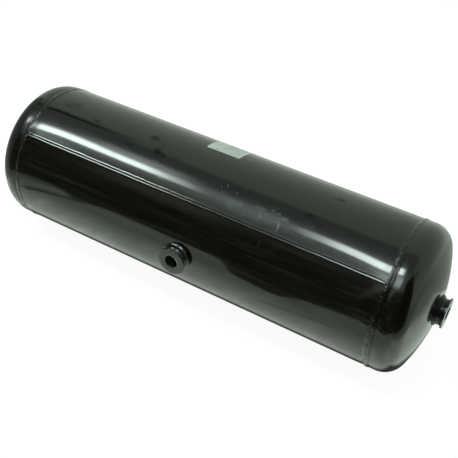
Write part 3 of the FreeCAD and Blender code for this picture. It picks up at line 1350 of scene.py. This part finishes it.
@dataclass
class LabelPlate:
    """Thin film label that follows the top of the shell."""

    shell: Shell
    length: float = 51.8 * MM
    arc: float = 42 * MM
    thickness: float = 0.38 * MM
    middle_x: float = -1.9 * MM
    middle_angle: float = math.radians(109.8)
    corner: float = 1.6 * MM
    cockle: float = 0.02 * MM
    cockle_wave: float = 260.0
    under: float = 0.05 * MM
    steps_round: int = 33
    steps_along: int = 41

    def build(self) -> bpy.types.Object:
        """Builds the film with rounded corners, as a top and a bottom skin joined all round.

        Returns:
            The piece, linked to the scene.
        """
        half = self.arc / 2
        straight = np.linspace(-half + self.corner, half - self.corner, self.steps_round)
        bend = self.corner * (1 - np.cos(np.linspace(0.15, 1.0, 5)[:-1] * math.pi / 2))
        offsets = np.concatenate([[-half], -half + bend, straight, half - bend[::-1], [half]])
        past = np.clip(np.abs(offsets) - (half - self.corner), 0, self.corner)
        inset = self.corner - np.sqrt(np.clip(self.corner ** 2 - past ** 2, 0, None))
        share = np.linspace(-1, 1, self.steps_along)[None, :]
        x = self.middle_x + share * (self.length / 2 - inset[:, None])
        angle = self.middle_angle + offsets[:, None] / self.shell.radius + 0 * x
        skin = self.shell.skin(x, angle)
        cockles = Wobble(Seed.LABEL, (190.0, 310.0), self.cockle)(x)
        cockles = cockles * np.cos(offsets[:, None] * self.cockle_wave)
        top = on_tank(x, skin + self.thickness + np.abs(cockles), angle)
        bottom = on_tank(x, skin - self.under, angle)
        rows, columns = x.shape
        loop = np.concatenate([top, bottom[:, ::-1]], 1)
        faces = ring_faces(rows, 2 * columns, closed=False).tolist()
        last = (rows - 1) * 2 * columns
        for start, flip in ((0, True), (last, False)):
            for i in range(columns - 1):
                quad = [start + i, start + i + 1, start + 2 * columns - 2 - i, start + 2 * columns - 1 - i]
                faces.append(quad[::-1] if flip else quad)
        return new_piece("label_film", loop, faces)


# --------------------------------------------------------------------------- studio

class Seen(Enum):
    """What a studio panel works on: only what gloss paint mirrors, or all light."""

    GLOSS = "gloss"
    ALL = "all"


@dataclass(frozen=True)
class Panel:
    """A flat card in the studio, bright or dark, that can fade out towards its edges.

    Its half sides are across and up; each profile runs over a whole side, and fade is the share of a
    half side over which the card ends.
    """

    name: str
    centre: Place
    across: Place
    up: Place
    light: Colour
    strength: float
    seen: Seen = Seen.GLOSS
    profile: tuple[tuple[float, float], ...] = ((0.0, 1.0), (1.0, 1.0))
    up_profile: tuple[tuple[float, float], ...] = ((0.0, 1.0), (1.0, 1.0))
    fade: tuple[float, float] = (0.0, 0.0)
    streaks: float = 0.0
    streak_size: Place = (1.0, 1.0, 1.0)
    blackness: float = 0.0

    def build(self) -> bpy.types.Object:
        """Builds the card and hides it from what doesn't see it.

        Returns:
            The card, linked to the scene.
        """
        points, faces = self.grid()
        mesh = bpy.data.meshes.new(self.name)
        mesh.from_pydata(points, [], faces)
        mesh.materials.append(new_material(self.name, self._inputs))
        card = bpy.data.objects.new(self.name, mesh)
        bpy.context.scene.collection.objects.link(card)
        card.visible_camera = False
        card.visible_diffuse = card.visible_shadow = self.seen is Seen.ALL
        card.visible_transmission = False
        card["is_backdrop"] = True
        return card

    def grid(self) -> tuple[list[tuple], list[tuple]]:
        """Points and faces of the card.

        Returns:
            The points, and the corners of each face.
        """
        centre, across, up = Vector(self.centre), Vector(self.across), Vector(self.up)
        corners = [centre + across * a + up * b for a, b in ((-1, -1), (1, -1), (1, 1), (-1, 1))]
        return [tuple(corner) for corner in corners], [(0, 1, 2, 3)]

    def _inputs(self, graph: Graph) -> dict:
        """Light of the card, by its place across and up the card.

        Args:
            graph: The material's nodes.

        Returns:
            The inputs of the material's shader.
        """
        out = graph.vector("SUBTRACT", graph.place(), self.centre)
        light: Union[Value, Colour] = tuple(self.strength * c for c in self.light)
        alpha: Term = 1.0
        sides = ((Vector(self.across), self.profile, self.fade[0]),
                 (Vector(self.up), self.up_profile, self.fade[1]))
        for side, stops, fade in sides:
            share = graph.vector("DOT_PRODUCT", out, tuple(side / side.length_squared))
            level = graph.add("ShaderNodeValToRGB", {"stops": stops}, {0: share * 0.5 + 0.5})
            light = graph.vector("MULTIPLY", level, light)
            if fade:
                alpha = share.size().rise(1.0, 1.0 - fade) * alpha
        if self.streaks:
            drawn = graph.noise(graph.stretched(out, self.streak_size), 1.0, 3.0, 0.6).rise(0.46, 0.78)
            light = graph.vector("SCALE", light, scale=drawn * self.streaks + self.blackness)
        return {"Base Color": (0, 0, 0, 1), "Roughness": 1.0, "Specular IOR Level": 0.0, "Alpha": alpha,
                "Emission Color": light, "Emission Strength": 1.0}


@dataclass(frozen=True)
class TableCard(Panel):
    """A card on the table, with an uneven front edge set by what each station of the tank mirrors.

    The edge lists pairs of a station on the tank and how far forward the card reaches, in tank radii.
    """

    edge: tuple[tuple[float, float], ...] = ()
    unit: float = 1.0
    station_shift: float = 0.95
    station_scale: float = 1.22
    lean: float = 0.359
    lean_change: float = 0.085
    lean_from: float = 2.73
    columns: int = 240

    def grid(self) -> tuple[list[tuple], list[tuple]]:
        """Points and faces, with the front edge sheared towards where the camera stands.

        Returns:
            The points, and the corners of each face.
        """
        stations, edges = zip(*self.edge)
        half, back = self.across[0] / self.unit, (self.centre[1] + self.up[1]) / self.unit
        points, faces = [], []
        for i in range(self.columns + 1):
            u = self.centre[0] / self.unit + half * (i / self.columns * 2 - 1)
            y = float(np.interp((u + self.station_shift) / self.station_scale, stations, edges))
            x = u + (self.lean - self.lean_change * u) * (y + self.lean_from)
            points += [(across * self.unit, forward * self.unit, self.centre[2])
                       for across, forward in ((x, y), (u, back))]
            if i:
                faces.append((2 * i - 2, 2 * i, 2 * i + 1, 2 * i - 1))
        return points, faces


@dataclass
class Studio:
    """White table, pale surround, two long soft lights in a row overhead, and cards for the reflections."""

    floor_z: float
    radius: float
    tint: Colour = (0.87, 1.0, 0.86)
    dim: Colour = (1.0, 0.93, 0.76)
    white: Colour = (0.865, 1.0, 0.965)
    room: float = 0.67
    table_albedo: float = 0.12
    table_glow: float = 0.93
    table_size: float = 12.0
    table_layer: float = 0.2 * MM
    wall_share: float = 0.8
    wall_steps: int = 48
    table_edge: tuple[tuple[float, float], ...] = (
        (-9.0, -4.0), (-2.65, -3.9), (-2.32, -3.9), (-2.2, -6.0), (-1.9, -6.0), (-1.82, -5.0), (-1.74, -3.4),
        (-1.5, -3.3), (-1.3, -3.9), (-1.15, -5.26), (-1.0, -5.6), (0.5, -5.6), (0.65, -5.3), (0.72, -4.0),
        (0.8, -2.9), (1.1, -2.72), (1.4, -2.57), (1.55, -2.7), (1.7, -3.3), (1.85, -3.9), (2.15, -4.5),
        (2.45, -5.1), (2.6, -5.6), (2.8, -4.6), (3.4, -4.0), (9.0, -3.8))

    def build(self) -> None:
        """Builds the surround, the table, the lights and the cards."""
        self._world()
        self._table()
        self._backdrop()
        for panel in self._panels():
            panel.build()

    def _world(self) -> None:
        """An even pale surround."""
        world = bpy.data.worlds.new("surround")
        bpy.context.scene.world = world
        world.use_nodes = True
        graph = Graph(world.node_tree)
        light = graph.add("ShaderNodeBackground", None, {0: (*self.tint, 1.0), 1: self.room})
        graph.add("ShaderNodeOutputWorld", None, {0: light})

    def _table(self) -> None:
        """A large white table that glows, as a light table does."""
        half = self.table_size
        corners = [(-half, -half), (half, -half), (half, half), (-half, half)]
        mesh = bpy.data.meshes.new("table")
        mesh.from_pydata([(x, y, self.floor_z) for x, y in corners], [], [(0, 1, 2, 3)])
        mesh.materials.append(new_material("table_white", lambda graph: {
            "Base Color": (*[self.table_albedo] * 3, 1.0), "Roughness": 0.9, "Specular IOR Level": 0.0,
            "Emission Color": (1, 1, 1, 1), "Emission Strength": self.table_glow}))
        table = bpy.data.objects.new("table", mesh)
        bpy.context.scene.collection.objects.link(table)
        table.visible_glossy = False
        table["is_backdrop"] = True

    def _backdrop(self) -> None:
        """A white wall all round, which only the camera sees."""
        steps, far, top = self.wall_steps, self.table_size * self.wall_share, self.table_size
        ring = [(far * math.cos(2 * math.pi * i / steps), far * math.sin(2 * math.pi * i / steps))
                for i in range(steps)]
        points = [(x, y, z) for z in (self.floor_z, top) for x, y in ring]
        faces = [(i, (i + 1) % steps, (i + 1) % steps + steps, i + steps) for i in range(steps)]
        faces.append(tuple(range(steps, 2 * steps)))
        mesh = bpy.data.meshes.new("backdrop")
        mesh.from_pydata(points, [], faces)
        mesh.materials.append(new_material("backdrop_white", lambda graph: {
            "Base Color": (0, 0, 0, 1), "Specular IOR Level": 0.0,
            "Emission Color": (1, 1, 1, 1), "Emission Strength": 1.0}))
        wall = bpy.data.objects.new("backdrop", mesh)
        bpy.context.scene.collection.objects.link(wall)
        wall.visible_glossy = wall.visible_diffuse = wall.visible_shadow = wall.visible_transmission = False
        wall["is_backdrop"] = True

    def _far(self, x: float, y: float, z: float) -> Place:
        """A length of so many tank radii along each axis."""
        return (x * self.radius, y * self.radius, z * self.radius)

    def _panels(self) -> list[Panel]:
        """All the lights and cards."""
        return self._lamps() + self._cards() + self._table_cards()

    def _lamps(self) -> list[Panel]:
        """Two lamps end to end, which fade between them, and the light their ends spill forward.

        Returns:
            The panels, in the order they are built.
        """
        far, white = self._far, self.white
        strip = Panel("strip_light", far(-3.6, -3.09, 10.80), far(7.5, -0.34, 0), far(0, 1.62, 0.52),
                      white, 22.0, Seen.ALL,
                      profile=((0.0, 0.0), (0.055, 1.0), (0.303, 1.0), (0.381, 0.32), (0.453, 0.12),
                               (0.526, 0.07), (0.603, 0.06), (0.662, 0.22), (0.721, 0.72), (0.789, 1.0),
                               (0.85, 0.6), (0.913, 0.25), (1.0, 0.0)),
                      up_profile=((0.0, 0.0), (0.04, 0.0), (0.14, 1.0), (0.55, 1.0), (0.62, 0.27),
                                  (0.72, 0.17), (0.85, 0.09), (1.0, 0.02)))
        right = Panel("spill_right", far(2.2, -6.9, 10.2), far(2.8, 0, 0), far(0, 3.0, 0),
                      white, 5.2, fade=(0.7, 0.8))
        left = Panel("spill_left", far(-10.1, -5.9, 10.2), far(0.9, 0, 0), far(0, 2.0, 0),
                     white, 2.6, fade=(0.6, 0.35))
        between = Panel("spill_between", far(-3.1, -3.9, 10.3), far(2.2, 0, 0), far(0, 2.5, 0),
                        white, 2.0, fade=(0.6, 0.6), streaks=1.0, blackness=0.4,
                        streak_size=far(0.7, 0.5, 1.0))
        above = Panel("spill_above", far(-6.3, -1.9, 10.4), far(2.3, 0, 0), far(0, 1.6, 0),
                      white, 2.8, fade=(0.7, 0.85))
        return [strip, right, left, between, above]

    def _cards(self) -> list[Panel]:
        """Dark and grey cards round the tank.

        Returns:
            The panels, in the order they are built.
        """
        far = self._far
        streaked = {"streaks": 7.5, "blackness": 0.0, "streak_size": far(2.6, 1.0, 0.34)}
        return [
            Panel("overhead_card", far(-3.0, -0.45, 11.0), far(16, 0, 0), far(0, 2.80, 0),
                  self.tint, 0.31, fade=(0.45, 0.0)),
            Panel("overhead_bar", far(-12.7, 3.2, 10.9), far(6.4, 0, 0), far(0, 0.80, 0),
                  self.tint, 0.0, fade=(0.40, 0.30)),
            Panel("front_card", far(-4.5, -6.5, 1.15), far(6.0, 0, 0), far(0, 0, 6.15),
                  self.dim, 0.05, **streaked),
            Panel("front_glow", far(-4.3, -6.4, 5.7), far(3.0, 0, 0), far(0, 0, 1.9),
                  self.dim, 0.30, fade=(0.8, 0.8)),
            Panel("front_card_right", far(5.3, -6.5, 1.35), far(4.05, 0, -0.9), far(0, 0, 6.5),
                  self.dim, 0.05, up_profile=((0.0, 1.0), (0.62, 1.0), (0.9, 2.0), (1.0, 1.0)),
                  fade=(0.06, 0.35), **streaked),
            Panel("right_card", far(5.0, -1.85, 1.80), far(0.46, 0.82, 0), far(0, 0, 2.55),
                  self.dim, 0.01, fade=(0.08, 0.08)),
            Panel("right_patch", far(11.0, -0.95, 7.8), far(0.2, 2.0, 0), far(-1.2, 0.1, 1.2),
                  self.tint, 0.25, fade=(0.9, 0.9)),
            Panel("left_card", far(-13.0, -1.5, 4.0), far(0, 8.0, 0), far(0, 0, 8.0),
                  self.tint, 0.21, fade=(0.1, 0.1)),
        ]

    def _table_cards(self) -> list[Panel]:
        """What the paint sees of the table: dull far out, bright round the tank, with shadows on it.

        Returns:
            The panels, in the order they are built.
        """
        far, low = self._far, self.floor_z
        shape = {"edge": self.table_edge, "unit": self.radius}

        def at(x: float, y: float, layer: int) -> Place:
            """A place on the table, in one of several thin layers."""
            return (x * self.radius, y * self.radius, low + layer * self.table_layer)

        return [
            TableCard("table_far", at(0, 4.9, 1), far(12.0, 0, 0), far(0, 11.1, 0), self.tint, 1.0,
                      profile=((0.0, 0.55), (1.0, 0.55)),
                      up_profile=((0.0, 0.8), (0.34, 0.74), (0.38, 0.68), (0.43, 0.82), (0.505, 1.28),
                                  (0.7, 1.38), (0.95, 1.48), (1.0, 1.45)), **shape),
            TableCard("table_left", at(-7.9, -0.6, 2), far(3.0, 0, 0), far(0, 3.4, 0), self.tint, 0.34,
                      fade=(0.12, 0.12), **shape),
            TableCard("table_near", at(0.1, -2.3, 2), far(4.9, 0, 0), far(0, 3.9, 0), self.tint, 1.2,
                      up_profile=((0.0, 0.80), (0.28, 0.80), (0.36, 0.72), (0.445, 0.66), (0.52, 0.80),
                                  (0.60, 1.0), (0.66, 0.95), (1.0, 0.80)),
                      fade=(0.12, 0.0), streaks=0.35, blackness=0.82, streak_size=far(0.5, 1.4, 1.0),
                      **shape),
            Panel("table_shadow", at(0, 0, 3), far(3.36, 0, 0), far(0, 0.84, 0), self.tint, 0.06,
                  fade=(0.05, 0.22)),
            Panel("table_shadow_right", at(2.55, 0.75, 4), far(0.85, 0, 0), far(0, 0.60, 0),
                  self.tint, 0.15, fade=(0.3, 0.5)),
            # Painted shadow: a dark streak on the table at the left, which only the paint's reflection sees.
            Panel("table_shadow_streak_left", at(-3.58, -2.9, 4), far(0.15, -1.15, 0), far(0.22, 0.03, 0),
                  self.tint, 0.15, fade=(0.4, 0.6)),
            # A thin dark line on the table, which only the paint's reflection sees.
            Panel("table_dark_line_right", at(1.48, -1.75, 4), far(0.66, -0.26, 0), far(0.02, 0.05, 0),
                  self.tint, 0.45, fade=(0.3, 0.6)),
        ]


@dataclass(frozen=True)
class Viewpoint:
    """Where the camera stands: it looks down on the tank from its front right."""

    azimuth: float = 28.764
    elevation: float = 39.863
    roll: float = 3.498
    distance: float = 1.13263
    across: float = 18.81 * MM
    above: float = -17.24 * MM
    lens: float = 62.31
    nearest: float = 0.01
    furthest: float = 100.0

    def build(self) -> bpy.types.Object:
        """Builds the camera and makes it the scene's own.

        Returns:
            The camera.
        """
        turn, rise, roll = (math.radians(a) for a in (self.azimuth, self.elevation, self.roll))
        level = Vector((math.cos(turn), math.sin(turn), 0))
        back = Vector((math.sin(turn) * math.cos(rise), -math.cos(turn) * math.cos(rise), math.sin(rise)))
        right = level * math.cos(roll) + back.cross(level) * math.sin(roll)
        up = back.cross(right)
        place = right * self.across + up * self.above + back * self.distance
        data = bpy.data.cameras.new("camera")
        data.lens = self.lens
        data.clip_start, data.clip_end = self.nearest, self.furthest
        camera = bpy.data.objects.new("camera", data)
        camera.matrix_world = Matrix.Translation(place) @ Matrix((right, up, back)).transposed().to_4x4()
        bpy.context.scene.collection.objects.link(camera)
        bpy.context.scene.camera = camera
        return camera


# --------------------------------------------------------------------------- assembly

@dataclass(frozen=True)
class Wear:
    """Where the shell's paint is worn.

    A patch has its station in tank radii, degrees above the side port, millimetres to each side along and
    round the shell, and strength.  A scratch has the station and degrees of both ends, its width in
    millimetres and its strength.
    """

    rubbed: Table = ((0.80, 58, 64, 17, 0.78), (0.90, 61.5, 12, 5, 0.4), (1.27, 60.5, 9, 4, 0.5),
                     (1.60, 57, 22, 10, 0.4), (-0.69, 64.8, 9, 5, 0.4), (-0.53, 53.5, 7, 4, 0.5),
                     (1.09, 36.8, 4, 7, 0.15), (1.28, 38, 8, 9, 0.12), (-1.87, 66, 7, 4, 0.3))
    chalked: Table = ((1.16, 62.3, 5, 4, 0.7), (1.08, 63.3, 3, 2.5, 0.6), (1.25, 60.8, 7, 3, 0.5),
                      (0.93, 61.5, 7, 4, 0.25), (1.23, 51.5, 6, 5, 0.3), (0.53, 65.5, 1.8, 1.5, 0.8),
                      (1.62, 63.3, 6, 4, 0.35))
    specked: Table = ((0.36, 66, 24, 13, 1.8), (0.74, 68.5, 34, 12, 1.8), (-1.85, 67, 9, 6, 1.2))
    dulled: Table = ((1.51, 70, 9, 6, 1.4), (1.68, 65.2, 8, 6, 1.3), (1.72, 95.3, 9, 5, 1.2),
                     (-1.84, 79.3, 9, 6, 1.5), (-2.70, 98, 10, 8, 1.0), (-0.93, 84.5, 11, 8, 1.4),
                     (-0.78, 72.8, 9, 7, 1.4), (-0.66, 72.0, 8, 5, 1.2), (-0.47, 73.5, 9, 7, 1.3),
                     (-2.35, 86, 20, 12, 0.8), (-1.18, 70.3, 12, 6, 0.7))
    scratched: Table = ((1.19, 57.3, 1.215, 55.4, 0.55, 0.5), (1.215, 55.4, 1.225, 53.0, 0.75, 1.1),
                        (1.225, 53.0, 1.22, 51.0, 0.6, 0.6), (1.22, 51.0, 1.19, 49.3, 0.55, 0.3),
                        (0.365, 69.0, 0.38, 66.9, 0.6, 0.65), (0.30, 65.9, 0.305, 65.3, 0.8, 0.5),
                        (0.34, 62.9, 0.365, 61.3, 0.6, 0.5), (0.53, 65.8, 0.535, 65.3, 0.8, 0.65),
                        (0.58, 71.6, 0.63, 71.1, 0.6, 0.3), (0.36, 51.8, 0.365, 51.4, 0.8, 0.3),
                        (0.55, 53.0, 0.56, 52.5, 0.8, 0.2), (1.08, 38.3, 1.065, 36.5, 0.6, 0.10),
                        (1.065, 36.5, 1.08, 34.5, 0.6, 0.08), (1.06, 66.6, 1.13, 66.0, 0.5, 0.3))


@dataclass
class Tank:
    """The whole tank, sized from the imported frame."""

    boss_height: float = 11.5 * MM
    crown_radius: float = 230 * MM
    weld_peel_height: float = 0.006 * MM
    weld_peel_size: float = 1.2 * MM
    wear: Wear = Wear()
    radius: float = field(init=False)
    weld_x: float = field(init=False)
    shell: Shell = field(init=False)
    paint: bpy.types.Material = field(init=False)
    bead_paint: bpy.types.Material = field(init=False)
    end_bead_paint: bpy.types.Material = field(init=False)

    def __post_init__(self) -> None:
        """Reads the driving sizes from the frame."""
        _, shell_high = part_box("shell")
        self.radius = shell_high.z
        self.weld_x = (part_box("girth_weld_right")[0].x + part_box("girth_weld_right")[1].x) / 2
        self.shell = Shell(self.radius, shell_high.x)

    def build(self) -> None:
        """Builds, dresses and places every piece."""
        self._finishes()
        fit_out(self.shell.build(), "shell", self.paint)
        fit_out(SeamBead(self.shell).build(), "shell_seam_weld", self.bead_paint)
        for end in End:
            head = DishedHead(end, self.radius, self.weld_x)
            fit_out(head.build(), f"head_{end.word}", self.paint)
            bead = GirthBead(self.shell, end, self.weld_x)
            fit_out(bead.build(), f"girth_weld_{end.word}", self.bead_paint)
            self._port(self._end_port(end), f"end_port_boss_{end.word}", f"end_port_weld_{end.word}")
        self._port(self._side_port(), "side_port_boss", "side_port_weld")
        label = LabelPlate(self.shell)
        finish = LabelFinish("label_film", label.middle_x, label.length, self.radius)
        fit_out(label.build(), "label_plate", finish.make())

    def _spot(self, station: float, degrees: float) -> Place:
        """A place on the shell from its station in tank radii and degrees above the side port."""
        turn = math.radians(degrees)
        return (station * self.radius, -math.cos(turn) * self.radius, math.sin(turn) * self.radius)

    def _patches(self, table: Table) -> tuple[Mark, ...]:
        """The marks of one of the tables of wear."""
        return tuple(Mark(self._spot(station, degrees), (long * MM, wide * MM, wide * MM), strength)
                     for station, degrees, long, wide, strength in table)

    def _scratches(self) -> tuple[Scratch, ...]:
        """The scratches on the shell."""
        return tuple(Scratch(self._spot(*ends[:2]), self._spot(*ends[2:]), width * MM, strength)
                     for *ends, width, strength in self.wear.scratched)

    def _finishes(self) -> None:
        """Makes the paints."""
        wear = self.wear
        self.paint = GlossPaint("black_gloss", rubbed=self._patches(wear.rubbed),
                                chalked=self._patches(wear.chalked), specked=self._patches(wear.specked),
                                dulled=self._patches(wear.dulled), scratched=self._scratches()).make()
        peel = {"peel_height": self.weld_peel_height, "peel_size": self.weld_peel_size}
        self.bead_paint = GlossPaint("black_gloss_on_weld", roughness=0.13, haze=0.40, dust=0.3,
                                     **peel).make()
        # Painted shade: the end ports' weld beads get a duller, less reflective copy of the black paint so
        # they read darker, for the shade and dark reflection round each boss's foot.
        self.end_bead_paint = GlossPaint("black_gloss_shaded_on_end_weld", roughness=0.22, haze=0.12, gloss=0.2,
                                         dust=0.3, **peel).make()

    def _end_port(self, end: End) -> Port:
        """The port in the middle of a head.

        Args:
            end: Which end of the tank.

        Returns:
            The port, ready to build.
        """
        low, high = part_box(f"end_port_boss_{end.word}")
        mouth, inner = (high.x, low.x) if end is End.RIGHT else (-low.x, -high.x)
        foot = mouth - self.boss_height
        crown = self.crown_radius

        def drop(radius: np.ndarray, turn: np.ndarray) -> np.ndarray:
            """How far the crown falls away at a distance from its middle."""
            return crown - np.sqrt(crown ** 2 - radius ** 2) + 0 * turn

        side = end.value
        return Port(f"end_{end.word}", Vector((foot * side, 0, 0)), Vector((side, 0, 0)),
                    mouth - foot, inner - foot, drop, Seed.END_PORT + side)

    def _side_port(self) -> Port:
        """The port in the side of the shell.

        Returns:
            The port, ready to build.
        """
        low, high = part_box("side_port_boss")

        def drop(radius: np.ndarray, turn: np.ndarray) -> np.ndarray:
            """How far the shell falls away beside the port's axis."""
            return self.radius - np.sqrt(self.radius ** 2 - (radius * np.sin(turn)) ** 2)

        return Port("side", Vector((0, -self.radius, 0)), Vector((0, -1, 0)),
                    -low.y - self.radius, -high.y - self.radius, drop, Seed.SIDE_PORT)

    def _port(self, port: Port, boss_node: str, bead_node: str) -> None:
        """Builds and places one port's boss and bead.

        Args:
            port: The port.
            boss_node: The CAD node of its boss.
            bead_node: The CAD node of its bead.
        """
        mouth = port.foot + port.away * port.mouth
        finish = BossPaint(f"{port.name}_boss_paint", mouth, port.away, port.rim, port.bore)
        fit_out(port.boss(), boss_node, finish.make())
        # The end ports' beads take the duller copy of the paint, the painted shade at the boss's foot.
        bead_paint = self.bead_paint if port.name == "side" else self.end_bead_paint
        fit_out(port.bead(), bead_node, bead_paint)


def main() -> None:
    """Builds the camera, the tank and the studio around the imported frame."""
    logging.basicConfig(level=logging.INFO, format="%(name)s %(message)s")
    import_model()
    cad_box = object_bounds()
    bpy.context.scene.view_settings.view_transform = "Standard"
    Viewpoint().build()
    tank = Tank()
    tank.build()
    Studio(cad_box[0].z, tank.radius).build()


if __name__ == "__main__":
    main()
